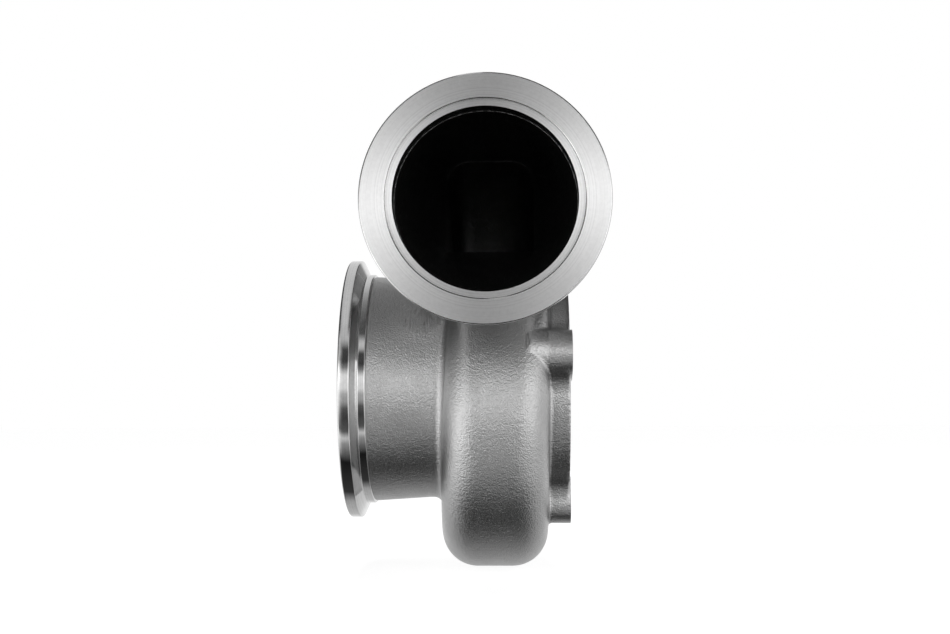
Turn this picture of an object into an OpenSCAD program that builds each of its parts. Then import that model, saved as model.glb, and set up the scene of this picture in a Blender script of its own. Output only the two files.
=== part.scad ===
// Turbine housing of a turbocharger: a bare investment casting with machined ends.
// X is the turbine axis. The bearing housing bolts on at X = 0 and the outlet faces -X.
// Exhaust gas enters along +Y through the inlet above the axis. Z points up.

/* [Clamp flanges] */
// Radial depth of the clamp taper behind each flange rim
clamp_lip = 5; // [4:0.25:6]
// Length of the clamp taper along the flange axis
clamp_taper = 2.8; // [1.8:0.1:3.2]
// Width of each flange rim
clamp_rim = 3.6; // [3:0.1:4.5]
// Length of the machined neck behind the taper
clamp_neck = 2.6; // [2:0.1:4]
// Edge break on the machined flanges
edge_break = 0.4; // [0.2:0.05:0.6]
// Step from each machined neck down to the cast skin
cast_step = 0.8; // [0.4:0.1:1.2]
// Depth of the locating recess in each flange face
recess_depth = 1.5; // [1:0.1:2]
// Width of the locating ledge in the inlet face
inlet_ledge = 2.1; // [1.5:0.1:2.8]
// Width of the locating ledge in the outlet face
outlet_ledge = 2.3; // [1.5:0.1:2.8]

/* [Inlet] */
// Outside diameter of the inlet flange
inlet_od = 78; // [76:0.5:82]
// Width of the inlet flange from its rim in to the bore
inlet_land = 10.3; // [9.7:0.1:11.5]
// Distance of the inlet face in front of the turbine axis
inlet_reach = 80; // [76:0.5:90]
// Height of the inlet centre above the turbine axis
inlet_rise = 56.5; // [55:0.5:60]
// Distance of the inlet centre from the bearing housing face
inlet_setback = 27.7; // [25:0.1:30]

/* [Outlet] */
// Outside diameter of the outlet flange
outlet_od = 92; // [90:0.5:96]
// Width of the outlet flange from its rim in to the bore
outlet_land = 9; // [8.5:0.1:10.5]
// Distance of the outlet face from the bearing housing face
outlet_reach = 77.6; // [72:0.5:90]

/* [Scroll] */
// Radius of the scroll crown at the throat, above the axis
throat_radius = 86.4; // [84:0.2:89]
// Radius of the scroll crown at the tongue
tongue_radius = 44.6; // [44:0.1:46.5]
// Width of the scroll at the throat
throat_width = 39.8; // [38:0.1:43]
// Width of the scroll at the tongue
tongue_width = 32.2; // [30:0.1:34]
// Radius of the scroll shoulders
shoulder_radius = 12.6; // [10:0.1:14]
// Wall thickness of the casting
wall = 3.8; // [3.2:0.1:4.2]
// Height that the duct floor climbs, to end thick over the tongue
floor_rise = 10; // [7:0.5:11]
// Fillet where the scroll meets the outlet cone
root_fillet = 1.8; // [1:0.1:2.5]

/* [Bearing housing flange] */
// Outside diameter of the bearing housing flange
bearing_od = 78; // [77.5:0.1:80]
// Diameter of the register bore that locates the bearing housing
register_d = 69; // [67:0.1:70]
// Depth of the register bore down to the heat shield seat
register_depth = 7.7; // [6.5:0.1:9]

/* [Bolt bosses] */
// Diameter of the circle through the screw holes
boss_pcd = 83; // [81:0.1:85]
// Width of each boss
boss_width = 15; // [14:0.5:17]
// Height of the boss faces over the flange face
boss_proud = 0.5; // [0.3:0.1:0.8]
// Angle of the front boss above the horizontal
boss_angle = 15.2; // [10:0.1:20]
// Diameter of each screw hole
screw_hole_d = 6.8; // [6:0.1:7.5]
// Length of the front boss over the scroll shoulder
boss_root_length = 6.6; // [5:0.1:8]

/* [Wheel chamber] */
// Diameter of the shroud where gas enters the wheel
inducer_d = 61; // [59:0.1:62]
// Diameter of the shroud where gas leaves the wheel
exducer_d = 55.8; // [53:0.1:57]
// Diameter of the heat shield opening
shield_d = 63; // [61.5:0.1:64.5]
// Width of the gap that feeds the wheel
nozzle_width = 10.7; // [9:0.1:12]
// Length of the curved part of the shroud
contour_length = 13.8; // [11:0.1:16]

/* [Outlet cone] */
// Step from the outlet clamp neck in to the cast cone, on the radius
cone_step = 0.8; // [0.5:0.1:1.2]
// Inside diameter of the cone where it leaves the shroud
diffuser_start_d = 60; // [58:0.5:64]
// Length of the flare from the shroud to the cast bore
diffuser_flare = 6.5; // [5:0.5:8]

/* [Hidden] */
$fn = 96;

cast_grey = [0.52, 0.52, 0.51];
machined_grey = [0.78, 0.78, 0.77];

// Clearance between the faceted scroll and the turned core
fit_gap = 0.02;
// Angle between two rings of the scroll
ring_step = 7.5;
// The duct and the front boss meet the scroll between these angles
duct_meets_angle = 240;
boss_meets_angle = 270;
boss_leaves_angle = 307.5;
// Angle at which the scroll wall ends in the tongue
tongue_start_angle = 337.5;
tongue_end_angle = 352.5;
// The crown and the width shrink from the throat to this angle
spiral_end_angle = 330;
// Angles at which the lengths of the scroll meet
cut_angles = [0, 37.5, 75, 112.5, 150, 187.5, 232.5, 277.5, tongue_start_angle];
// Turn from one quarter of a round outline, or one boss, to the next
quarter_turn = 90;
// Points along each rounded shoulder and each foot of the section
shoulder_steps = 6;
foot_steps = 3;
// Points along the curved part of the shroud
contour_steps = 6;
// Share of the height above the core that a shoulder may take
shoulder_share = 0.75;
// Thickness left at the tip of the tongue, and how much of its wall thins from below
tongue_tip = 1.2;
tongue_thinning = 0.8;
// Clearance over the tongue, which stands between the side walls of the duct
tongue_gap = 0.2;
// Rounding of the passage corners never falls under this
inner_corner_min = 0.4;

inlet_bore = inlet_od - 2 * inlet_land;
outlet_bore = outlet_od - 2 * outlet_land;
core_r = bearing_od / 2;
foot_r = (core_r + fit_gap) / cos(ring_step / 2);
flange_length = clamp_rim + clamp_taper + clamp_neck;
inlet_neck_r = inlet_od / 2 - clamp_lip;
scroll_right = -register_depth;
scroll_back = scroll_right - throat_width;
shroud_lip = scroll_right - wall - nozzle_width;
cone_start = -outlet_reach + flange_length;
cone_outlet_r = outlet_od / 2 - clamp_lip - cone_step;
diffuser_end = scroll_back - diffuser_flare;
cone_slope = (cone_outlet_r - core_r) / (scroll_back - root_fillet - cone_start);
diffuser_end_r = cone_r(diffuser_end) - wall;
boss_r = boss_width / 2;
boss_core_r = (register_d / 2 + boss_pcd / 2 - screw_hole_d / 2) / 2;
throat_floor = core_r - wall;

// The inlet duct is lofted through this many stations
duct_steps = 12;
duct_corner_steps = 7;
duct_r = inlet_neck_r - cast_step;
duct_y0 = -inlet_reach + flange_length;

// Scroll section

function crown(a) = throat_radius - (throat_radius - tongue_radius) * a / spiral_end_angle;
function section_width(a) = throat_width - (throat_width - tongue_width) * pow(a / spiral_end_angle, 2);
function section_left(a) = scroll_right - section_width(a);
function shoulder(a) = min(shoulder_radius, shoulder_share * (crown(a) - foot_r));
function inner_depth(a) = crown(a) - wall - foot_r;
function inner_shoulder(a) =
  min(max(shoulder(a) - wall, inner_corner_min), shoulder_share * inner_depth(a));

// Points on a circle arc as [x, r] pairs
function arc(cx, cr, radius, from, to, steps) =
  [for (i = [0:steps]) let (t = from + (to - from) * i / steps) [cx + radius * cos(t), cr + radius * sin(t)]];

// A straight run of points up one side of the passage
function run(x, r0, r1, steps) = [for (i = [0:steps]) [x, r0 + (r1 - r0) * i / steps]];

function outer_section(a) = let (c = shoulder(a), left = section_left(a), top = crown(a)) concat(
  arc(left - root_fillet, foot_r + root_fillet, root_fillet, -90, 0, foot_steps),
  arc(left + c, top - c, c, 180, 90, shoulder_steps),
  arc(scroll_right - c, top - c, c, 90, 0, shoulder_steps),
  run(scroll_right, top - c - fit_gap, foot_r, foot_steps)
);

function inner_section(a) =
  let (c = inner_shoulder(a), left = section_left(a) + wall, right = scroll_right - wall,
       top = crown(a) - wall, rise = top - c - fit_gap) concat(
  run(left, foot_r, rise, foot_steps),
  arc(left + c, top - c, c, 180, 90, shoulder_steps),
  arc(right - c, top - c, c, 90, 0, shoulder_steps),
  run(right, rise, foot_r, foot_steps)
);

// The tongue carries on from the scroll crown and thins towards its tip
function tongue_section(a) =
  let (s = (a - tongue_start_angle) / (tongue_end_angle - tongue_start_angle),
       left = scroll_back + wall + fit_gap, right = scroll_right - wall - fit_gap,
       top = crown(tongue_start_angle) - tongue_tip * s / 2,
       low = crown(tongue_start_angle) - wall + (wall - tongue_tip) * s * tongue_thinning) [
  [left, low], [left, top - tongue_tip / 3], [left + tongue_tip, top],
  [right - tongue_tip, top], [right, top - tongue_tip / 3], [right, low]
];

function reversed(list) = [for (i = [len(list) - 1:-1:0]) list[i]];
function placed(p, a) = [p[0], p[1] * sin(a), p[1] * cos(a)];

// Sweeps a closed section along the scroll. Point i of each ring faces point m - 1 - i,
// so the two ends close with a strip of quads.
module sweep(sections, angles) {
  m = len(sections[0]);
  n = len(sections);
  points = [for (k = [0:n - 1]) for (p = sections[k]) placed(p, angles[k])];
  sides = [
    for (k = [0:n - 2]) for (i = [0:m - 1])
      let (j = (i + 1) % m, a = k * m + i, b = k * m + j, c = (k + 1) * m + j, d = (k + 1) * m + i)
      each [[a, c, b], [a, d, c]]
  ];
  last = (n - 1) * m;
  caps = [
    for (i = [0:m / 2 - 2])
      let (j = m - 1 - i)
      each [[i, i + 1, j - 1], [i, j - 1, j],
            [last + i, last + j - 1, last + i + 1], [last + i, last + j, last + j - 1]]
  ];
  polyhedron(points = points, faces = concat(sides, caps));
}

function ring_angles(from, to) = [for (a = [from:ring_step:to]) a];

module scroll_shell(from, to) {
  angles = ring_angles(from, to);
  sweep([for (a = angles) concat(outer_section(a), reversed(inner_section(a)))], angles);
}

// The solid space that the scroll takes up, used to trim what meets it
module scroll_envelope(from, to) {
  angles = ring_angles(from, to);
  sweep([for (a = angles) outer_section(a)], angles);
}

// Turned shapes

// Turns a list of [x, r] points about the turbine axis
module turned(points) {
  rotate([0, 90, 0]) rotate_extrude() polygon([for (p = points) [p[1], p[0]]]);
}

// Clamp flange with its face at height 0 and its neck upwards
module clamp_flange(od, bore, ledge) {
  rim_r = od / 2;
  recess_r = bore / 2 + ledge;
  neck_r = rim_r - clamp_lip;
  rotate_extrude() polygon([
    [bore / 2, flange_length],
    [bore / 2, recess_depth],
    [recess_r, recess_depth],
    [recess_r, edge_break / 2],
    [recess_r + edge_break / 2, 0],
    [rim_r - edge_break, 0],
    [rim_r, edge_break],
    [rim_r, clamp_rim],
    [neck_r, clamp_rim + clamp_taper],
    [neck_r, flange_length - cast_step / 2],
    [neck_r - cast_step / 2, flange_length],
  ]);
}

// Sub-parts of the inlet

module inlet_flange() {
  color(machined_grey)
    translate([-inlet_setback, -inlet_reach, inlet_rise]) rotate([-90, 0, 0])
      clamp_flange(inlet_od, inlet_bore, inlet_ledge);
}

// Smooth blend from 0 at the flange to 1 at the throat
function ease(s) = s * s * (3 - 2 * s);
function mix(a, b, s) = a + (b - a) * ease(s);

// Outline of the duct at station s as [x, z] points, drawn inset by the given amount,
// with its floor lifted and its lower corners that much sharper at the throat
function duct_outline(s, inset, lift = 0) =
  let (floor_z = throat_floor + lift,
       throat_half_h = (throat_radius - floor_z) / 2,
       half_w = mix(duct_r, throat_width / 2, s) - inset,
       half_h = mix(duct_r, throat_half_h, s) - inset,
       cx = mix(-inlet_setback, scroll_right - throat_width / 2, s),
       cz = mix(inlet_rise, floor_z + throat_half_h, s))
  [for (q = [0:3]) for (i = [0:duct_corner_steps])
    let (t = quarter_turn * (q + i / duct_corner_steps),
         sx = (q == 0 || q == 3) ? 1 : -1, sz = q < 2 ? 1 : -1,
         sharper = q < 2 ? 0 : min(lift, shoulder_radius - wall - inner_corner_min),
         corner = mix(duct_r, shoulder_radius - sharper, s) - inset)
    [cx + sx * (half_w - corner) + corner * cos(t), cz + sz * (half_h - corner) + corner * sin(t)]];

// One convex length of duct between two outlines at y0 and y1
module duct_length(outline0, y0, outline1, y1) {
  m = len(outline0);
  hull() polyhedron(
    points = [for (p = outline0) [p[0], y0, p[1]], for (p = outline1) [p[0], y1, p[1]]],
    faces = [
      [for (i = [0:m - 1]) i],
      [for (i = [m - 1:-1:0]) m + i],
      for (i = [0:m - 1]) let (j = (i + 1) % m) each [[i, m + i, j], [j, m + i, m + j]]
    ]
  );
}

// Loft from the flange to the throat, inset by one amount at each end
module duct_loft(inset0, inset1, lift = 0) {
  for (k = [0:duct_steps - 1]) {
    s0 = k / duct_steps;
    s1 = (k + 1) / duct_steps;
    duct_length(duct_outline(s0, mix(inset0, inset1, s0), lift), duct_y0 * (1 - s0),
                duct_outline(s1, mix(inset0, inset1, s1), lift), duct_y0 * (1 - s1));
  }
}

module inlet_duct() {
  bore_inset = duct_r - inlet_bore / 2;
  color(cast_grey) difference() {
    duct_loft(0, 0);
    duct_loft(bore_inset, wall, floor_rise);
    duct_length(duct_outline(0, bore_inset), duct_y0 - wall, duct_outline(0, bore_inset), duct_y0);
    duct_length(duct_outline(1, wall, floor_rise), 0, duct_outline(1, wall, floor_rise), wall);
    scroll_envelope(duct_meets_angle, tongue_start_angle);
    rotate([0, -90, 0]) cylinder(h = outlet_reach, r = foot_r + cast_step / 2);
    intersection() {
      translate([scroll_right - wall, 0, 0]) rotate([0, -90, 0])
        cylinder(h = throat_width - 2 * wall, r = crown(tongue_start_angle) + tongue_gap);
      rotate([360 - tongue_start_angle, 0, 0]) translate([-outlet_reach, -tongue_gap, 0])
        cube([outlet_reach, throat_radius, throat_radius]);
    }
  }
}

// Sub-parts of the scroll

module scroll_length(i) {
  color(cast_grey) scroll_shell(cut_angles[i], cut_angles[i + 1]);
}

module scroll_throat() {
  scroll_length(0);
}

module scroll_upper_back() {
  scroll_length(1);
}

module scroll_back() {
  scroll_length(2);
}

module scroll_lower_back() {
  scroll_length(3);
}

module scroll_bottom() {
  scroll_length(4);
}

module scroll_lower_front() {
  scroll_length(5);
}

module scroll_front() {
  scroll_length(6);
}

module scroll_upper_front() {
  scroll_length(7);
}

module tongue() {
  angles = ring_angles(tongue_start_angle, tongue_end_angle);
  color(cast_grey) sweep([for (a = angles) tongue_section(a)], angles);
}

// Sub-parts of the core

// Quarter wave from the inducer to the exducer, as [x, r] points
function shroud_contour() = [
  for (i = [0:contour_steps]) let (s = i / contour_steps)
    [shroud_lip - contour_length * s,
     exducer_d / 2 + (inducer_d - exducer_d) / 2 * (1 - sin(quarter_turn * s))]
];

module wheel_shroud() {
  lip_r = inducer_d / 2 + wall;
  foot_x = section_left(tongue_start_angle) + wall;
  color(machined_grey) turned(concat(
    shroud_contour(),
    [
      [scroll_back + edge_break, exducer_d / 2],
      [scroll_back, exducer_d / 2 + edge_break],
      [scroll_back, core_r],
      [foot_x, core_r],
      [shroud_lip - wall, lip_r + wall / 2],
      [shroud_lip - wall / 4, lip_r],
      [shroud_lip, lip_r - wall / 4],
    ]
  ));
}

module heat_shield_seat() {
  color(machined_grey) turned([
    [scroll_right - wall, shield_d / 2],
    [scroll_right, shield_d / 2],
    [scroll_right, core_r],
    [scroll_right - wall, core_r],
  ]);
}

// Outer radius of the cone at place x
function cone_r(x) = core_r + cone_slope * (scroll_back - root_fillet - x);

// Thick ring that opens out from the shroud to the cast bore
module diffuser_ring() {
  color(cast_grey) turned([
    [scroll_back, diffuser_start_d / 2],
    [diffuser_end, diffuser_end_r],
    [diffuser_end, cone_r(diffuser_end)],
    [scroll_back - root_fillet, core_r],
    [scroll_back, core_r],
  ]);
}

module outlet_cone() {
  color(cast_grey) turned([
    [diffuser_end, diffuser_end_r],
    [cone_start, outlet_bore / 2],
    [cone_start, cone_outlet_r + cast_step / 4],
    [cone_start + cast_step, cone_r(cone_start + cast_step)],
    [diffuser_end, cone_r(diffuser_end)],
  ]);
}

module outlet_flange() {
  color(machined_grey)
    translate([-outlet_reach, 0, 0]) rotate([0, 90, 0])
      clamp_flange(outlet_od, outlet_bore, outlet_ledge);
}

// Sub-parts of the bearing housing flange

// Round-ended bar of one boss, pointing along +Y before it is turned to its angle
module boss_bar(length) {
  rotate([0, -90, 0]) linear_extrude(length) difference() {
    union() {
      translate([0, boss_pcd / 2]) circle(boss_r);
      translate([-boss_r, 0]) square([boss_width, boss_pcd / 2]);
    }
    circle(boss_core_r);
  }
}

// Turns a boss from +Y to its place: place 0 is the front one, then every quarter turn
module at_boss(place) {
  rotate([2 * quarter_turn - boss_angle + quarter_turn * place, 0, 0]) children();
}

module bolt_boss(place) {
  color(machined_grey) at_boss(place) difference() {
    boss_bar(register_depth);
    translate([0, boss_pcd / 2, 0]) rotate([0, -90, 0])
      cylinder(h = register_depth, d = screw_hole_d);
  }
}

module bearing_flange() {
  color(machined_grey) difference() {
    turned([
      [scroll_right, register_d / 2],
      [-boss_proud - edge_break, register_d / 2],
      [-boss_proud, register_d / 2 + edge_break],
      [-boss_proud, core_r - edge_break],
      [-boss_proud - edge_break, core_r],
      [scroll_right, core_r],
    ]);
    for (place = [0:3]) at_boss(place) boss_bar(register_depth);
  }
}

// The front boss runs on over the scroll shoulder, where the scroll is low
module front_boss() {
  color(machined_grey) difference() {
    at_boss(0) boss_bar(register_depth + boss_root_length);
    at_boss(0) translate([0, boss_pcd / 2, 0]) rotate([0, -90, 0])
      cylinder(h = register_depth, d = screw_hole_d);
    translate([scroll_right, 0, 0]) rotate([0, -90, 0])
      cylinder(h = 2 * boss_root_length, r = foot_r + fit_gap);
    scroll_envelope(boss_meets_angle, boss_leaves_angle);
  }
}

module bottom_boss() {
  bolt_boss(1);
}

module back_boss() {
  bolt_boss(2);
}

module top_boss() {
  bolt_boss(3);
}

inlet_flange();
inlet_duct();
scroll_throat();
scroll_upper_back();
scroll_back();
scroll_lower_back();
scroll_bottom();
scroll_lower_front();
scroll_front();
scroll_upper_front();
tongue();
wheel_shroud();
diffuser_ring();
outlet_cone();
outlet_flange();
heat_shield_seat();
bearing_flange();
front_boss();
bottom_boss();
back_boss();
top_boss();
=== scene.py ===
import math

import bmesh
import bpy
from mathutils import Matrix, Vector


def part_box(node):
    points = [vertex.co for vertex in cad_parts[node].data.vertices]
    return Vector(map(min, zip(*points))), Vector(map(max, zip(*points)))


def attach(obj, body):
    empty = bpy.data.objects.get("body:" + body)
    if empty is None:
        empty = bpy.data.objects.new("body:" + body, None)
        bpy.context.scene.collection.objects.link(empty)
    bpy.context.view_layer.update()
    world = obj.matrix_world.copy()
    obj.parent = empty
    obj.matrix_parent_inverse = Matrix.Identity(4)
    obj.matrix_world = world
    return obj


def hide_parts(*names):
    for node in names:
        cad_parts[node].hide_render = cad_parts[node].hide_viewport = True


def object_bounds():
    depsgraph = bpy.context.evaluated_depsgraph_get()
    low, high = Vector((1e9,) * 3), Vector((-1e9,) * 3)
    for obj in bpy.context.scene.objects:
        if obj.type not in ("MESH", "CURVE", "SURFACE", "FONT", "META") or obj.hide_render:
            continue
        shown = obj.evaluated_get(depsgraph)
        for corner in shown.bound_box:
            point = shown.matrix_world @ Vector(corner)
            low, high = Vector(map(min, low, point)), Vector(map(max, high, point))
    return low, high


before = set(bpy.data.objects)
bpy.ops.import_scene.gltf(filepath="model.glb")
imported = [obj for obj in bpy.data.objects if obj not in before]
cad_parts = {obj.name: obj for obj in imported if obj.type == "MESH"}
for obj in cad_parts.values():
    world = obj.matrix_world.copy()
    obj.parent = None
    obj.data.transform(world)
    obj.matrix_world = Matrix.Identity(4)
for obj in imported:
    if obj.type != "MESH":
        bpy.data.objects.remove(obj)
cad_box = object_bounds()

# Sizes are in millimetres and angles in degrees, as the part has them
MM = 0.001

# Walls and edges
WALL = 3.8
CAST_STEP = 0.8
EDGE = 0.4
# Keeps two faces apart that would lie on each other
HAIR = 0.02
# How far a solid or a cutter runs past the face where it ends
OVERLAP = 3.0
# Farther than any part of the casting
FAR = 200.0

# Scroll, with its angles from the throat
SHOULDER = 12.6
SHOULDER_SHARE = 0.75
TONGUE_R = 44.6
TONGUE_WIDTH = 32.2
SPIRAL_END = 330.0
TONGUE_START = 337.5
ROOT_FILLET = 1.8
# The round skin stays this far inside the flat facets of the part
SKIN = 0.06
# Fillets at the feet of the scroll's sides, full size from the angle FOOT_GROWTH on
FOOT_LEFT = 2.8
FOOT_RIGHT = 1.3
FOOT_GROWTH = 30.0
# Radii inside the core where the solid scroll and its passage end
SOLID_FLOOR_R = 30.0
PASSAGE_FLOOR_R = 36.0
# How far the core goes on past the scroll's back, inside the cone
CORE_REACH = 4.0

# Inlet duct. Its floor climbs over the tongue by FLOOR_RISE, and its solid ends past the throat
FLOOR_RISE = 10.0
DUCT_END = 1.5

# Bosses and their screw holes
BOSS_PCD = 83.0
BOSS_ANGLE = 15.2
BOSS_WIDTH = 15.0
BOSS_FLANK = 9.0
BOSS_PROUD = 0.5
# Radius inside the core where a boss's outline starts
BOSS_START = 20.0
# The front boss reaches further over the scroll's shoulder and ends in a rising nose
FRONT_ROOT = 6.6
FRONT_NOSE = 1.8
PLAIN_ROOT = 2.0
SCREW_R = 3.4
SCREW_MOUTH = 0.6

# Clamp flanges
CLAMP_LIP = 5.0
CLAMP_RIM = 3.9
CLAMP_TAPER = 2.3
RECESS_DEPTH = 1.5
INLET_BORE_R = 28.7
INLET_RECESS_R = 30.8
OUTLET_BORE_R = 37.0
OUTLET_RECESS_R = 39.3
CORNER_ROUND = 0.25

# Outlet cone, bores and shroud
CONE_OUTLET_R = 40.2
DIFFUSER_START_R = 30.0
DIFFUSER_END_R = 35.5
DIFFUSER_FLARE = 6.5
REGISTER_R = 34.5
SHIELD_R = 31.5
INDUCER_R = 30.5
EXDUCER_R = 27.9
NOZZLE = 10.7
CONTOUR = 13.8

# Fineness of the meshes
VOXEL = 0.5
SMOOTHING = 2
SCROLL_STEPS = 135
DUCT_STEPS = 24
CORNER_STEPS = 14
FOOT_STEPS = 6
FLANK_STEPS = 12
END_STEPS = 24
CONTOUR_STEPS = 24
BORE_SEGMENTS = 192
RING_SEGMENTS = 256
HOLE_SEGMENTS = 48


def box_mm(node):
    low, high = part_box(node)
    return Vector(low) / MM, Vector(high) / MM


# Places and radii that the frame gives
inlet_low, inlet_high = box_mm("inlet_flange")
INLET_R = (inlet_high.x - inlet_low.x) / 2
INLET_X = (inlet_high.x + inlet_low.x) / 2
INLET_Z = (inlet_high.z + inlet_low.z) / 2
INLET_FACE = inlet_low.y
FLANGE_LENGTH = inlet_high.y - inlet_low.y
outlet_low, outlet_high = box_mm("outlet_flange")
OUTLET_R = (outlet_high.z - outlet_low.z) / 2
OUTLET_FACE = outlet_low.x
seat_low, seat_high = box_mm("heat_shield_seat")
CORE_R = (seat_high.z - seat_low.z) / 2
SCROLL_RIGHT = seat_high.x
throat_low, throat_high = box_mm("scroll_throat")
THROAT_R = throat_high.z
THROAT_WIDTH = SCROLL_RIGHT - throat_low.x - ROOT_FILLET

# What follows from them
CONE_START = OUTLET_FACE + FLANGE_LENGTH
SCROLL_BACK = SCROLL_RIGHT - THROAT_WIDTH
SHROUD_LIP = SCROLL_RIGHT - WALL - NOZZLE
CORE_BORE_R = CORE_R - HAIR
DUCT_START = INLET_FACE + FLANGE_LENGTH
DUCT_R = INLET_R - CLAMP_LIP - CAST_STEP
THROAT_FLOOR = CORE_R - WALL


# Camera: the photograph's viewpoint, in metres

CAMERA_PLACE = (-0.01744, -0.49295, -0.00994)
CAMERA_YAW = 1.864
CAMERA_PITCH = 4.126
CAMERA_ROLL = -0.218
FOCAL_PX = 1365.0
PHOTO_WIDTH = 950
SENSOR = 36.0


def make_camera():
    yaw, pitch, roll = (math.radians(a) for a in (CAMERA_YAW, CAMERA_PITCH, CAMERA_ROLL))
    level = math.cos(pitch)
    forward = Vector((-math.sin(yaw) * level, math.cos(yaw) * level, math.sin(pitch)))
    right = Vector((math.cos(yaw), math.sin(yaw), 0.0))
    up = right.cross(forward)
    c, s = math.cos(roll), math.sin(roll)
    right, up = c * right + s * up, c * up - s * right
    turn = Matrix((right, up, -forward)).transposed().to_4x4()
    data = bpy.data.cameras.new("camera")
    data.sensor_width = SENSOR
    data.lens = FOCAL_PX * SENSOR / PHOTO_WIDTH
    cam = bpy.data.objects.new("camera", data)
    bpy.context.scene.collection.objects.link(cam)
    cam.matrix_world = Matrix.Translation(CAMERA_PLACE) @ turn
    bpy.context.scene.camera = cam


# Mesh helpers. A solid is a pair of points in millimetres and faces

def mesh_object(name, verts, faces):
    """A smooth mesh object with its normals outward."""
    mesh = bpy.data.meshes.new(name)
    mesh.from_pydata([Vector(v) * MM for v in verts], [], faces)
    bm = bmesh.new()
    bm.from_mesh(mesh)
    bmesh.ops.recalc_face_normals(bm, faces=bm.faces)
    bm.to_mesh(mesh)
    bm.free()
    mesh.polygons.foreach_set("use_smooth", [True] * len(mesh.polygons))
    obj = bpy.data.objects.new(name, mesh)
    bpy.context.scene.collection.objects.link(obj)
    return obj


def solid_from_rings(rings):
    """A closed solid through rings of equal length."""
    m, n = len(rings[0]), len(rings)
    verts = [p for ring in rings for p in ring]
    faces = [
        (k * m + i, k * m + (i + 1) % m, (k + 1) * m + (i + 1) % m, (k + 1) * m + i)
        for k in range(n - 1) for i in range(m)
    ]
    faces.append(tuple(range(m))[::-1])
    faces.append(tuple(range((n - 1) * m, n * m)))
    return verts, faces


def joined(solids):
    verts, faces = [], []
    for v, f in solids:
        base = len(verts)
        verts += v
        faces += [tuple(base + i for i in face) for face in f]
    return verts, faces


def arc(cx, cy, radius, start, end, steps):
    out = []
    for i in range(steps + 1):
        t = math.radians(start + (end - start) * i / steps)
        out.append((cx + radius * math.cos(t), cy + radius * math.sin(t)))
    return out


def rounded(profile, radius, steps=4):
    """A closed [r, h] profile with each corner turned into a small arc."""
    out = []
    n = len(profile)
    for i in range(n):
        p = Vector(profile[i])
        a, b = Vector(profile[i - 1]) - p, Vector(profile[(i + 1) % n]) - p
        reach = min(radius, a.length * 0.4, b.length * 0.4)
        start, end = p + a.normalized() * reach, p + b.normalized() * reach
        for k in range(steps + 1):
            t = k / steps
            out.append(tuple(start.lerp(p, t).lerp(p.lerp(end, t), t)))
    return out


def about_x(u, v, h):
    return (h, u, v)


def at_inlet(u, v, h):
    return (INLET_X + u, INLET_FACE + h, INLET_Z + v)


def at_outlet(u, v, h):
    return (OUTLET_FACE + h, u, v)


def revolved(profile, segments, place):
    """A ring turned from a closed [r, h] profile. place maps (r cos, r sin, h)."""
    m = len(profile)
    verts, faces = [], []
    for k in range(segments):
        t = 2 * math.pi * k / segments
        verts += [place(r * math.cos(t), r * math.sin(t), h) for r, h in profile]
    for k in range(segments):
        this, following = k * m, (k + 1) % segments * m
        for i in range(m):
            j = (i + 1) % m
            faces.append((this + i, this + j, following + j, following + i))
    return verts, faces


def plug(profile, segments=BORE_SEGMENTS, place=about_x):
    """A solid of revolution from an open [r, h] profile, closed at both ends."""
    turns = [2 * math.pi * k / segments for k in range(segments)]
    return solid_from_rings([
        [place(r * math.cos(t), r * math.sin(t), h) for t in turns] for r, h in profile
    ])


def block(low, high):
    (x0, y0, z0), (x1, y1, z1) = low, high
    return solid_from_rings([
        [(x, y0, z0), (x, y1, z0), (x, y1, z1), (x, y0, z1)] for x in (x0, x1)
    ])


def apply_modifiers(obj):
    bpy.context.view_layer.update()
    graph = bpy.context.evaluated_depsgraph_get()
    mesh = bpy.data.meshes.new_from_object(obj.evaluated_get(graph))
    obj.modifiers.clear()
    old = obj.data
    obj.data = mesh
    bpy.data.meshes.remove(old)


def cut(obj, solid, material=None):
    """Takes a solid away from an object. The new faces take the material."""
    tool = mesh_object("cutter", *solid)
    if material:
        tool.data.materials.append(material)
    mod = obj.modifiers.new("cut", "BOOLEAN")
    mod.operation = "DIFFERENCE"
    mod.solver = "MANIFOLD"
    mod.material_mode = "TRANSFER"
    mod.object = tool
    apply_modifiers(obj)
    bpy.data.objects.remove(tool)


# Shape of the scroll

def crown(a):
    return THROAT_R - SKIN - (THROAT_R - TONGUE_R) * a / SPIRAL_END


def section_left(a):
    return SCROLL_RIGHT - THROAT_WIDTH + (THROAT_WIDTH - TONGUE_WIDTH) * (a / SPIRAL_END) ** 2


def scroll_section(a, inset, floor_r):
    """Closed outline of the scroll at angle a, drawn inset, down to floor_r."""
    left, right, top = section_left(a) + inset, SCROLL_RIGHT - inset, crown(a) - inset
    shoulder = min(SHOULDER, SHOULDER_SHARE * (crown(a) - CORE_R))
    c = min(max(shoulder - inset, EDGE), SHOULDER_SHARE * (top - CORE_R))
    room = max(top - CORE_R - c, HAIR)
    grown = min(a / FOOT_GROWTH, 1.0)
    foot_l, foot_r = (
        max(min(foot, room) * grown, HAIR / 2) if inset == 0 else HAIR / 2
        for foot in (FOOT_LEFT, FOOT_RIGHT)
    )
    return (
        [(left - foot_l, floor_r)]
        + arc(left - foot_l, CORE_R + foot_l, foot_l, -90, 0, FOOT_STEPS)
        + arc(left + c, top - c, c, 180, 90, CORNER_STEPS)
        + arc(right - c, top - c, c, 90, 0, CORNER_STEPS)
        + arc(right + foot_r, CORE_R + foot_r, foot_r, 180, 270, FOOT_STEPS)
        + [(right + foot_r, floor_r)]
    )


def scroll_solid(inset, floor_r):
    rings = []
    for k in range(SCROLL_STEPS + 1):
        a = TONGUE_START * k / SCROLL_STEPS
        s, c = math.sin(math.radians(a)), math.cos(math.radians(a))
        rings.append([(x, r * s, r * c) for x, r in scroll_section(a, inset, floor_r)])
    return solid_from_rings(rings)


# Shape of the inlet duct

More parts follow.
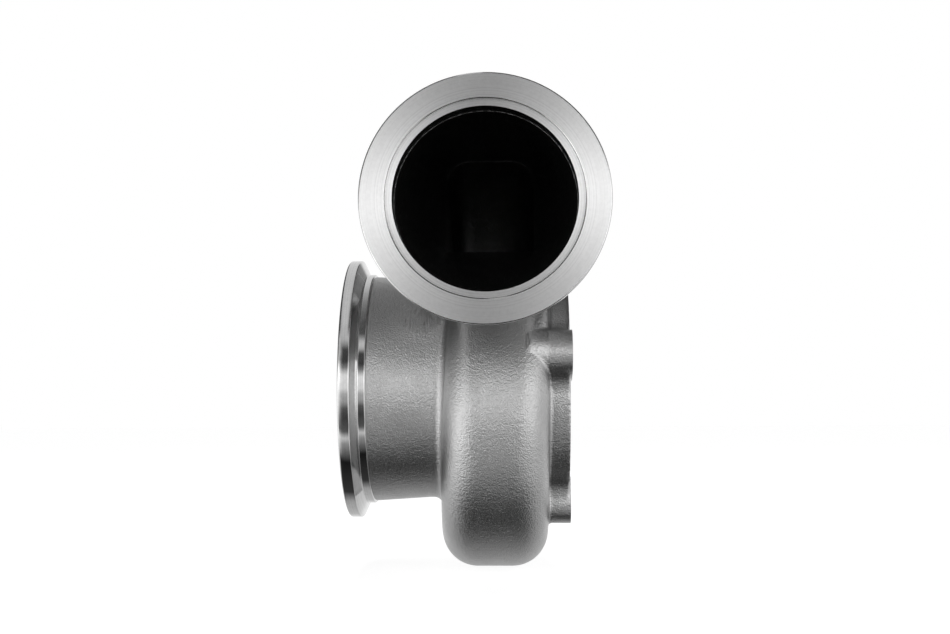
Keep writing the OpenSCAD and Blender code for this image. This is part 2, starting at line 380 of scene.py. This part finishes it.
def eased(a, b, s):
    return a + (b - a) * s * s * (3 - 2 * s)


def duct_ring(s, y, inset, lift):
    """Section at share s of the way from the round inlet to the throat, its floor lifted."""
    floor_z = THROAT_FLOOR + lift
    throat_half = (crown(0) - floor_z) / 2
    half_w = eased(DUCT_R, THROAT_WIDTH / 2, s) - inset
    half_h = eased(DUCT_R, throat_half, s) - inset
    cx = eased(INLET_X, SCROLL_RIGHT - THROAT_WIDTH / 2, s)
    cz = eased(INLET_Z, floor_z + throat_half, s)
    sharper = min(lift, SHOULDER - WALL - EDGE)
    out = []
    for quarter, (sx, sz) in enumerate(((1, 1), (-1, 1), (-1, -1), (1, -1))):
        corner = eased(DUCT_R, SHOULDER - (sharper if sz < 0 else 0), s) - inset
        mid_x, mid_z = cx + sx * (half_w - corner), cz + sz * (half_h - corner)
        for x, z in arc(mid_x, mid_z, corner, 90 * quarter, 90 * quarter + 90, CORNER_STEPS):
            out.append((x, y, z))
    return out


def duct_solid(inlet_inset, throat_inset, before, after, lift=0):
    """The duct, drawn inset, longer by before at the inlet and by after at the throat."""
    rings = [duct_ring(0, DUCT_START - before, inlet_inset, lift)]
    for k in range(DUCT_STEPS + 1):
        s = k / DUCT_STEPS
        inset = eased(inlet_inset, throat_inset, s)
        rings.append(duct_ring(s, DUCT_START * (1 - s), inset, lift))
    rings.append(duct_ring(1, after, throat_inset, lift))
    return solid_from_rings(rings)


# Bosses

def bar_outline():
    """A round end over the screw, with straight sides. It has as many points as flared_outline."""
    r, out, count = BOSS_WIDTH / 2, BOSS_PCD / 2, FLANK_STEPS + 2
    side = [(r, BOSS_START + (out - BOSS_START) * i / count) for i in range(count)]
    return side + arc(0, out, r, 0, 180, END_STEPS) + [(-u, v) for u, v in side[::-1]]


def flared_outline():
    """The same with a hollow flank on each side that runs out to the flange."""
    r, out = BOSS_WIDTH / 2, BOSS_PCD / 2
    reach = CORE_R + BOSS_FLANK
    flank_v = (reach ** 2 - (r + BOSS_FLANK) ** 2 + out ** 2) / (2 * out)
    flank_u = math.sqrt(reach ** 2 - flank_v ** 2)
    low = math.degrees(math.atan2(-flank_v, -flank_u)) % 360
    high = math.degrees(math.atan2(out - flank_v, -flank_u)) % 360
    flank = arc(flank_u, flank_v, BOSS_FLANK, low, high, FLANK_STEPS)
    side = [(flank[0][0], BOSS_START)] + flank
    end = arc(0, out, r, high - 180, 360 - high, END_STEPS)
    return side + end + [(-u, v) for u, v in side[::-1]]


def boss_turn(place):
    """Cosine and sine of a boss's angle about the turbine axis, for place 0 (front) to 3."""
    t = math.radians(180 - BOSS_ANGLE + 90 * place)
    return math.cos(t), math.sin(t)


def boss_solid(place, root, nose=0):
    """A boss that reaches root into the scroll, where it may stand out by nose more."""
    c, s = boss_turn(place)
    bar, flared = bar_outline(), flared_outline()
    stations = [
        (OVERLAP, 0, bar), (-BOSS_PROUD, 0, bar), (-BOSS_PROUD - EDGE, 0, flared),
        (SCROLL_RIGHT, 0, flared), (SCROLL_RIGHT - root, nose, flared),
    ]
    return solid_from_rings([
        [(x, (v + out) * c - u * s, (v + out) * s + u * c) for u, v in outline]
        for x, out, outline in stations
    ])


def screw_hole(place):
    c, s = boss_turn(place)
    cy, cz = BOSS_PCD / 2 * c, BOSS_PCD / 2 * s
    profile = [(SCREW_R + SCREW_MOUTH + 1, 1), (SCREW_R, -SCREW_MOUTH), (SCREW_R, SCROLL_RIGHT)]
    return plug(profile, HOLE_SEGMENTS, lambda u, v, h: (h, cy + u, cz + v))


# The cast body

def make_cast_body(skin, passage_painted_shade, bored):
    """The casting as one skin: its solids melted together, then faced and bored."""
    solids = [
        scroll_solid(0, SOLID_FLOOR_R),
        duct_solid(0, 0, OVERLAP, DUCT_END),
        plug([(CORE_R, SCROLL_BACK - CORE_REACH), (CORE_R, -BOSS_PROUD)]),
        plug([
            (CONE_OUTLET_R, CONE_START - OVERLAP), (CONE_OUTLET_R, CONE_START),
            (CORE_R, SCROLL_BACK - ROOT_FILLET), (CORE_R, SCROLL_BACK + OVERLAP),
        ]),
        boss_solid(0, FRONT_ROOT, FRONT_NOSE),
    ] + [boss_solid(place, PLAIN_ROOT) for place in (1, 2, 3)]
    body = mesh_object("cast_body", *joined(solids))
    body.data.materials.append(skin)
    remesh = body.modifiers.new("remesh", "REMESH")
    remesh.mode = "VOXEL"
    remesh.voxel_size = VOXEL * MM
    remesh.use_smooth_shade = True
    smooth = body.modifiers.new("smooth", "SMOOTH")
    smooth.factor = 0.5
    smooth.iterations = SMOOTHING
    apply_modifiers(body)

    faced_r = CORE_R + BOSS_WIDTH
    cut(body, plug([(faced_r, 0), (faced_r, BOSS_WIDTH)]))
    cut(body, block((-FAR, -FAR, -FAR), (CONE_START, FAR, FAR)))
    cut(body, block((-FAR, -FAR, -FAR), (FAR, DUCT_START, FAR)))

    # The passage faces take the darker copy of the cast steel, which paints the shade inside the
    # casting
    cut(body, duct_solid(DUCT_R - INLET_BORE_R, WALL, OVERLAP, EDGE, FLOOR_RISE), passage_painted_shade)
    cut(body, scroll_solid(WALL, PASSAGE_FLOOR_R), passage_painted_shade)
    cut(body, plug([(CORE_BORE_R, SCROLL_BACK), (CORE_BORE_R, SCROLL_RIGHT)]), passage_painted_shade)
    cut(body, plug([
        (REGISTER_R, SCROLL_RIGHT - 1), (REGISTER_R, -BOSS_PROUD - EDGE),
        (REGISTER_R + 1, -BOSS_PROUD - EDGE + 1),
    ]), bored)
    cut(body, plug([
        (OUTLET_BORE_R, CONE_START - OVERLAP), (OUTLET_BORE_R, CONE_START),
        (DIFFUSER_END_R, SCROLL_BACK - DIFFUSER_FLARE),
        (DIFFUSER_START_R, SCROLL_BACK), (DIFFUSER_START_R - 1, SCROLL_BACK + 1),
    ]), passage_painted_shade)
    for place in range(4):
        cut(body, screw_hole(place), bored)
    mesh = body.data
    mesh.polygons.foreach_set("use_smooth", [True] * len(mesh.polygons))
    mesh.set_sharp_from_angle(angle=math.radians(35))
    return body


# Turned pieces

def clamp_profile(rim_r, bore_r, recess_r):
    neck_r = rim_r - CLAMP_LIP
    return [
        (bore_r, FLANGE_LENGTH), (bore_r, RECESS_DEPTH), (recess_r, RECESS_DEPTH),
        (recess_r, EDGE), (recess_r + EDGE * 0.9, 0), (rim_r - EDGE, 0), (rim_r, EDGE),
        (rim_r, CLAMP_RIM), (neck_r, CLAMP_RIM + CLAMP_TAPER),
        (neck_r, FLANGE_LENGTH - EDGE), (neck_r - CAST_STEP, FLANGE_LENGTH),
    ]


def shroud_profile():
    """The contour from the lip to the outlet side, closed by the plain faces behind it."""
    lip_r = INDUCER_R + WALL
    contour = []
    for i in range(CONTOUR_STEPS + 1):
        s = i / CONTOUR_STEPS
        r = EXDUCER_R + (INDUCER_R - EXDUCER_R) * (1 - math.sin(math.pi / 2 * s))
        contour.append((r, SHROUD_LIP - CONTOUR * s))
    return contour + [
        (EXDUCER_R, SCROLL_BACK + EDGE), (EXDUCER_R + EDGE, SCROLL_BACK),
        (CORE_BORE_R, SCROLL_BACK), (CORE_BORE_R, section_left(TONGUE_START) + WALL),
        (lip_r + WALL / 2, SHROUD_LIP - WALL), (lip_r, SHROUD_LIP - WALL / 4),
        (lip_r - WALL / 4, SHROUD_LIP),
    ]


def seat_profile():
    back = SCROLL_RIGHT - WALL
    return [(SHIELD_R, back), (SHIELD_R, SCROLL_RIGHT), (CORE_BORE_R, SCROLL_RIGHT),
            (CORE_BORE_R, back)]


def turned_piece(name, profile, place, material):
    obj = mesh_object(name, *revolved(rounded(profile, CORNER_ROUND), RING_SEGMENTS, place))
    obj.data.materials.append(material)
    return obj


def repaint(obj, centre, axis, inner, outer, material):
    """Gives the faces of a turned piece between two radii from its axis another material."""
    obj.data.materials.append(material)
    for face in obj.data.polygons:
        offset = face.center / MM - Vector(centre)
        offset[axis] = 0
        if inner < offset.length < outer:
            face.material_index = len(obj.data.materials) - 1


# Node helpers. A value is a number or another node's output

def put(tree, value, socket):
    if isinstance(value, (int, float)):
        socket.default_value = value
    else:
        tree.links.new(value, socket)


def math_node(tree, operation, first, second=0.0):
    node = tree.nodes.new("ShaderNodeMath")
    node.operation = operation
    put(tree, first, node.inputs[0])
    put(tree, second, node.inputs[1])
    return node.outputs["Value"]


def map_range(tree, value, start, end, low=0.0, high=1.0, curve="SMOOTHSTEP"):
    node = tree.nodes.new("ShaderNodeMapRange")
    node.interpolation_type = curve
    for name, number in (("From Min", start), ("From Max", end), ("To Min", low), ("To Max", high)):
        node.inputs[name].default_value = number
    tree.links.new(value, node.inputs["Value"])
    return node.outputs["Result"]


def blend(tree, factor, first, second, kind="MIX"):
    node = tree.nodes.new("ShaderNodeMix")
    node.data_type = "RGBA"
    node.blend_type = kind
    put(tree, factor, node.inputs["Factor"])
    tree.links.new(first, node.inputs["A"])
    tree.links.new(second, node.inputs["B"])
    return node.outputs["Result"]


def greys(tree, value, stops):
    """Grey level by a value from 0 to 1, from a list of (value, level) pairs."""
    node = tree.nodes.new("ShaderNodeValToRGB")
    elements = node.color_ramp.elements
    while len(elements) < len(stops):
        elements.new(0.5)
    for element, (at, level) in zip(elements, stops):
        element.position = at
        element.color = (level, level, level, 1)
    tree.links.new(value, node.inputs["Fac"])
    return node.outputs["Color"]


def levels(tree, value, stops, low, high):
    """The same for a value from low to high."""
    share = map_range(tree, value, low, high, curve="LINEAR")
    return greys(tree, share, [((at - low) / (high - low), level) for at, level in stops])


def object_coords(tree):
    return tree.nodes.new("ShaderNodeTexCoord").outputs["Object"]


def noise(tree, coords, scale, detail, roughness):
    node = tree.nodes.new("ShaderNodeTexNoise")
    node.inputs["Scale"].default_value = scale
    node.inputs["Detail"].default_value = detail
    node.inputs["Roughness"].default_value = roughness
    tree.links.new(coords, node.inputs["Vector"])
    return node.outputs["Fac"]


def bump(tree, height, distance, strength, normal=None):
    node = tree.nodes.new("ShaderNodeBump")
    node.inputs["Distance"].default_value = distance
    node.inputs["Strength"].default_value = strength
    tree.links.new(height, node.inputs["Height"])
    if normal:
        tree.links.new(normal, node.inputs["Normal"])
    return node.outputs["Normal"]


# Materials. Scales of noise count waves per metre, and depths of bumps are in metres

BLOTCHES, PITS, GRAIN, MOTTLE, TOOL_MARKS = 90, 900, 2200, 700, 2400
GRAIN_DEPTH = 0.0002
WRINKLE_DEPTH = 0.0008
MARK_DEPTH = 0.000002
# Where the wax pattern left flow wrinkles on the outlet neck
WRINKLES = (-50.5, -32.5, 22.0)
WRINKLE_REACH = 9.0
WRINKLE_CORE = 2.0


def metal(name):
    mat = bpy.data.materials.new(name)
    mat.use_nodes = True
    bsdf = mat.node_tree.nodes["Principled BSDF"]
    bsdf.inputs["Metallic"].default_value = 1.0
    return mat, mat.node_tree, bsdf


def wrinkles(tree, coords):
    """Wavy lines round the outlet neck, only near one place."""
    away = tree.nodes.new("ShaderNodeVectorMath")
    away.operation = "DISTANCE"
    away.inputs[1].default_value = [v * MM for v in WRINKLES]
    tree.links.new(coords, away.inputs[0])
    mask = map_range(tree, away.outputs["Value"], WRINKLE_REACH * MM, WRINKLE_CORE * MM)
    stretched = tree.nodes.new("ShaderNodeVectorMath")
    stretched.operation = "MULTIPLY"
    stretched.inputs[1].default_value = (1.0, 0.12, 0.12)
    tree.links.new(coords, stretched.inputs[0])
    lines = noise(tree, stretched.outputs["Vector"], PITS, 2, 0.5)
    return math_node(tree, "MULTIPLY", lines, mask)


def cast_material(name, tone):
    """Shot blasted investment casting: matte metal with a fine grain."""
    mat, tree, bsdf = metal(name)
    coords = object_coords(tree)
    blotch = noise(tree, coords, BLOTCHES, 4, 0.6)
    grain = noise(tree, coords, GRAIN, 2, 0.5)
    pits = noise(tree, coords, PITS, 1, 0.5)
    tree.links.new(greys(tree, blotch, [(0.3, tone * 0.93), (0.7, tone * 1.07)]),
                   bsdf.inputs["Base Color"])
    tree.links.new(map_range(tree, grain, 0, 1, 0.26, 0.36, "LINEAR"), bsdf.inputs["Roughness"])
    waves = bump(tree, wrinkles(tree, coords), WRINKLE_DEPTH, 0.8)
    pitted = bump(tree, pits, GRAIN_DEPTH, 0.5, waves)
    tree.links.new(bump(tree, grain, GRAIN_DEPTH, 0.9, pitted), bsdf.inputs["Normal"])
    return mat


def tool_marks(tree, coords, axis, centre):
    """Rings round an axis through centre: noise that changes only with radius and height."""
    split = tree.nodes.new("ShaderNodeSeparateXYZ")
    tree.links.new(coords, split.inputs["Vector"])
    squares = [
        math_node(tree, "POWER", math_node(tree, "SUBTRACT", split.outputs[k], centre[k] * MM), 2)
        for k in range(3) if k != axis
    ]
    radius = math_node(tree, "SQRT", math_node(tree, "ADD", *squares))
    node = tree.nodes.new("ShaderNodeTexNoise")
    node.noise_dimensions = "1D"
    node.inputs["Scale"].default_value = TOOL_MARKS
    node.inputs["Detail"].default_value = 3.0
    tree.links.new(math_node(tree, "ADD", radius, split.outputs[axis]), node.inputs["W"])
    return node.outputs["Fac"]


def turned_material(name, axis, centre, tone, rough, stretch):
    """Turned steel: bright, with tool marks running round the axis and a faint mottle."""
    mat, tree, bsdf = metal(name)
    coords = object_coords(tree)
    mottle = noise(tree, coords, MOTTLE, 4, 0.65)
    marks = tool_marks(tree, coords, axis, centre)
    both = math_node(tree, "MULTIPLY", math_node(tree, "ADD", mottle, marks), 0.5)
    tree.links.new(greys(tree, both, [(0.35, tone * 0.88), (0.6, tone)]),
                   bsdf.inputs["Base Color"])
    tree.links.new(map_range(tree, mottle, 0, 1, rough - 0.02, rough + 0.04, "LINEAR"),
                   bsdf.inputs["Roughness"])
    bsdf.inputs["Anisotropic"].default_value = stretch
    bsdf.inputs["Anisotropic Rotation"].default_value = 0.25
    tangent = tree.nodes.new("ShaderNodeTangent")
    tangent.direction_type = "RADIAL"
    tangent.axis = "XYZ"[axis]
    tree.links.new(tangent.outputs["Tangent"], bsdf.inputs["Tangent"])
    tree.links.new(bump(tree, marks, MARK_DEPTH, 0.5), bsdf.inputs["Normal"])
    return mat


# Light, in metres. Its levels are brightness as seen, where 1 is white

LAMP_PLACE = (-0.03, 0.1, 0.9)
LAMP_TARGET = (-0.03, -0.02, 0.01)
LAMP_SIZE = 0.5
LAMP_LEVEL = 3.0

# The studio that metal reflects, by the direction's angle from the camera side upward. Behind
# is the white backdrop, below it the table and its dark edge, in front a strip lamp, above a
# bank of light
MIDDLE = [
    (-180, 1.0), (-165, 0.8), (-150, 0.55), (-120, 0.4), (-112, 0.2), (-105, 0.04), (-68, 0.01),
    (-58, 0.15), (-50, 0.3), (-45, 0.6), (-39, 0.1), (-26, 0.05), (-18, 0.1), (-13, 0.35),
    (-6, 0.45), (-1, 0.8), (10, 0.85), (17, 0.2), (22, 0.05), (33, 0.06), (42, 0.5), (60, 0.6),
    (110, 0.6), (150, 0.7), (165, 0.8), (180, 1.0),
]
# The same a little to each side, where two soft boxes begin
FLANK = [
    (-180, 1.0), (-160, 0.6), (-130, 0.5), (-118, 0.05), (-65, 0.02), (-54, 0.7), (-43, 1.0),
    (-36, 0.2), (-26, 0.5), (-18, 0.9), (-8, 1.1), (0, 1.4), (8, 2.0), (16, 1.9), (24, 0.8),
    (34, 0.5), (44, 0.6), (54, 0.05), (150, 0.1), (165, 0.3), (180, 1.0),
]
# And far to the sides, by height
SIDE = [(-1.0, 0.5), (-0.5, 0.8), (-0.2, 1.6), (0.15, 1.5), (0.4, 0.2), (0.6, 0.1), (1.0, 0.05)]

# Where one list hands over to the next, as the sideways part of a direction of length 1
FLANK_START, FLANK_FULL = 0.14, 0.26
SIDE_START, SIDE_FULL = 0.6, 0.75
# The bank above is narrower and hangs a little to the left
BANK_LOW, BANK_HIGH = 0.4, 0.7
BANK_SHIFT = 0.12
BANK_NARROWING = 1.5
# The right box stands higher than the left one, and more of it reaches round the back
SIDE_TILT = 0.12
SIDE_TURN = 0.3
LEFT_GAIN = 1.1
BACK_LEFT, BACK_RIGHT = 0.5, 0.6
BACK_START, BACK_FULL = -0.1, 0.3
# Straight along the turbine axis it is dimmer, so that the turned faces don't wash out
END_START, END_FULL = 0.9, 0.97
END_SHARE = 0.6


def make_lamp():
    """A soft lamp overhead that gives the floor the object's shadow."""
    data = bpy.data.lights.new("overhead", "AREA")
    data.shape = "RECTANGLE"
    data.size = data.size_y = LAMP_SIZE
    data.energy = LAMP_LEVEL * math.pi * LAMP_SIZE ** 2
    lamp = bpy.data.objects.new("overhead", data)
    lamp.location = LAMP_PLACE
    direction = Vector(LAMP_TARGET) - Vector(LAMP_PLACE)
    lamp.rotation_euler = direction.to_track_quat("-Z", "Y").to_euler()
    lamp.visible_glossy = False
    bpy.context.scene.collection.objects.link(lamp)


def middle_and_flank(tree, x, y, z):
    """The studio in front, above and behind: a middle band between two soft boxes."""
    angle = math_node(tree, "ARCTAN2", z, math_node(tree, "MULTIPLY", y, -1))
    degrees = math_node(tree, "MULTIPLY", angle, 180 / math.pi)
    shift = map_range(tree, z, BANK_LOW, BANK_HIGH, 0.0, BANK_SHIFT)
    narrowing = map_range(tree, z, BANK_LOW, BANK_HIGH, 1.0, 1.0 + BANK_NARROWING)
    off = math_node(tree, "ABSOLUTE", math_node(tree, "ADD", x, shift))
    near_off = math_node(tree, "MULTIPLY", off, narrowing)
    return blend(
        tree, map_range(tree, near_off, FLANK_START, FLANK_FULL),
        levels(tree, degrees, MIDDLE, -180, 180), levels(tree, degrees, FLANK, -180, 180))


def far_sides(tree, x, y, z, aside):
    """The two boxes as seen straight to the left and right."""
    height = math_node(tree, "SUBTRACT", z, math_node(tree, "MULTIPLY", x, SIDE_TILT))
    front = map_range(tree, x, -SIDE_TURN, SIDE_TURN, LEFT_GAIN, 1.0)
    back = map_range(tree, x, -SIDE_TURN, SIDE_TURN, BACK_LEFT, BACK_RIGHT)
    share = blend(tree, map_range(tree, y, BACK_START, BACK_FULL), front, back)
    ends = map_range(tree, aside, END_START, END_FULL, 1.0, END_SHARE)
    return blend(tree, 1.0, levels(tree, height, SIDE, -1, 1),
                 math_node(tree, "MULTIPLY", share, ends), "MULTIPLY")


def make_world():
    """The studio as metal reflects it, and plain white where the camera looks past the object."""
    world = bpy.data.worlds.new("studio")
    world.use_nodes = True
    tree = world.node_tree
    tree.nodes.clear()
    split = tree.nodes.new("ShaderNodeSeparateXYZ")
    coords = tree.nodes.new("ShaderNodeTexCoord")
    tree.links.new(coords.outputs["Generated"], split.inputs["Vector"])
    x, y, z = (split.outputs[axis] for axis in "XYZ")
    aside = math_node(tree, "ABSOLUTE", x)
    studio = tree.nodes.new("ShaderNodeBackground")
    tree.links.new(
        blend(tree, map_range(tree, aside, SIDE_START, SIDE_FULL),
              middle_and_flank(tree, x, y, z), far_sides(tree, x, y, z, aside)),
        studio.inputs["Color"])
    white = tree.nodes.new("ShaderNodeBackground")
    white.inputs["Color"].default_value = (1, 1, 1, 1)
    pick = tree.nodes.new("ShaderNodeMixShader")
    path = tree.nodes.new("ShaderNodeLightPath")
    tree.links.new(path.outputs["Is Camera Ray"], pick.inputs["Fac"])
    tree.links.new(studio.outputs["Background"], pick.inputs[1])
    tree.links.new(white.outputs["Background"], pick.inputs[2])
    out = tree.nodes.new("ShaderNodeOutputWorld")
    tree.links.new(pick.outputs["Shader"], out.inputs["Surface"])
    bpy.context.scene.world = world


# Floor

FLOOR_DROP = 0.2
FLOOR_SIDE = 6000.0
FLOOR_TONE = 0.5
FLOOR_GLOW = 0.86


def floor_material():
    """A matte white floor. The camera sees it lit a little from within, so that it reads white."""
    mat = bpy.data.materials.new("floor")
    mat.use_nodes = True
    tree = mat.node_tree
    tree.nodes.clear()
    matte = tree.nodes.new("ShaderNodeBsdfDiffuse")
    matte.inputs["Color"].default_value = (FLOOR_TONE, FLOOR_TONE, FLOOR_TONE, 1)
    path = tree.nodes.new("ShaderNodeLightPath")
    glow = tree.nodes.new("ShaderNodeEmission")
    tree.links.new(math_node(tree, "MULTIPLY", path.outputs["Is Camera Ray"], FLOOR_GLOW),
                   glow.inputs["Strength"])
    both = tree.nodes.new("ShaderNodeAddShader")
    tree.links.new(matte.outputs["BSDF"], both.inputs[0])
    tree.links.new(glow.outputs["Emission"], both.inputs[1])
    out = tree.nodes.new("ShaderNodeOutputMaterial")
    tree.links.new(both.outputs["Shader"], out.inputs["Surface"])
    return mat


def make_floor():
    level = cad_box[0][2] / MM - FLOOR_DROP
    corners = [(-1, -1), (1, -1), (1, 1), (-1, 1)]
    floor = mesh_object(
        "floor", [(u * FLOOR_SIDE, v * FLOOR_SIDE, level) for u, v in corners], [(0, 1, 2, 3)])
    floor.data.materials.append(floor_material())
    floor.visible_glossy = False


# The scene

def stand_for(obj, slot, *nodes):
    """Hides the nodes that a piece replaces and attaches the piece to the root body. The slot is
    not used.
    """
    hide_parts(*nodes)
    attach(obj, "root")


make_camera()
inlet_centre, outlet_centre = (INLET_X, 0, INLET_Z), (0, 0, 0)
cast = cast_material("cast_steel_skin", 0.55)
# The same cast steel at a much darker tone, for the passages and bores inside: painted shade, since
# the inside is the same casting in shadow
passage_painted_shade = cast_material("cast_steel_passage_painted_shade", 0.2)
turned_y = turned_material("turned_steel_inlet", 1, inlet_centre, 0.97, 0.5, 0.95)
polished = turned_material("turned_steel_edge", 1, inlet_centre, 0.8, 0.1, 0.3)
turned_x = turned_material("turned_steel_outlet", 0, outlet_centre, 0.8, 0.06, 0.6)

body = make_cast_body(cast, passage_painted_shade, turned_x)
turned_nodes = {"inlet_flange", "outlet_flange", "wheel_shroud", "heat_shield_seat"}
stand_for(body, "cast_steel", *sorted(set(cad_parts) - turned_nodes))

inlet_profile = clamp_profile(INLET_R, INLET_BORE_R, INLET_RECESS_R)
inlet_ring = turned_piece("inlet_clamp_flange", inlet_profile, at_inlet, turned_y)
stand_for(inlet_ring, "machined_steel", "inlet_flange")
# The flange bores take the darker copy of the cast steel too: painted shade in the bore
repaint(inlet_ring, inlet_centre, 1, 0, INLET_BORE_R + EDGE / 8, passage_painted_shade)
repaint(inlet_ring, inlet_centre, 1, INLET_RECESS_R - EDGE / 4, INLET_RECESS_R + EDGE, polished)
repaint(inlet_ring, inlet_centre, 1, INLET_R - EDGE * 1.1, INLET_R + EDGE, polished)

outlet_profile = clamp_profile(OUTLET_R, OUTLET_BORE_R, OUTLET_RECESS_R)
outlet_ring = turned_piece("outlet_clamp_flange", outlet_profile, at_outlet, turned_x)
stand_for(outlet_ring, "machined_steel", "outlet_flange")
# Painted shade on the outlet bore as well
repaint(outlet_ring, outlet_centre, 0, 0, OUTLET_BORE_R + EDGE / 8, passage_painted_shade)

shroud = turned_piece("shroud_ring", shroud_profile(), about_x, turned_x)
stand_for(shroud, "bored_steel", "wheel_shroud")
seat = turned_piece("shield_seat_ring", seat_profile(), about_x, turned_x)
stand_for(seat, "bored_steel", "heat_shield_seat")

make_floor()
make_lamp()
make_world()
bpy.context.scene.view_settings.view_transform = "Standard"
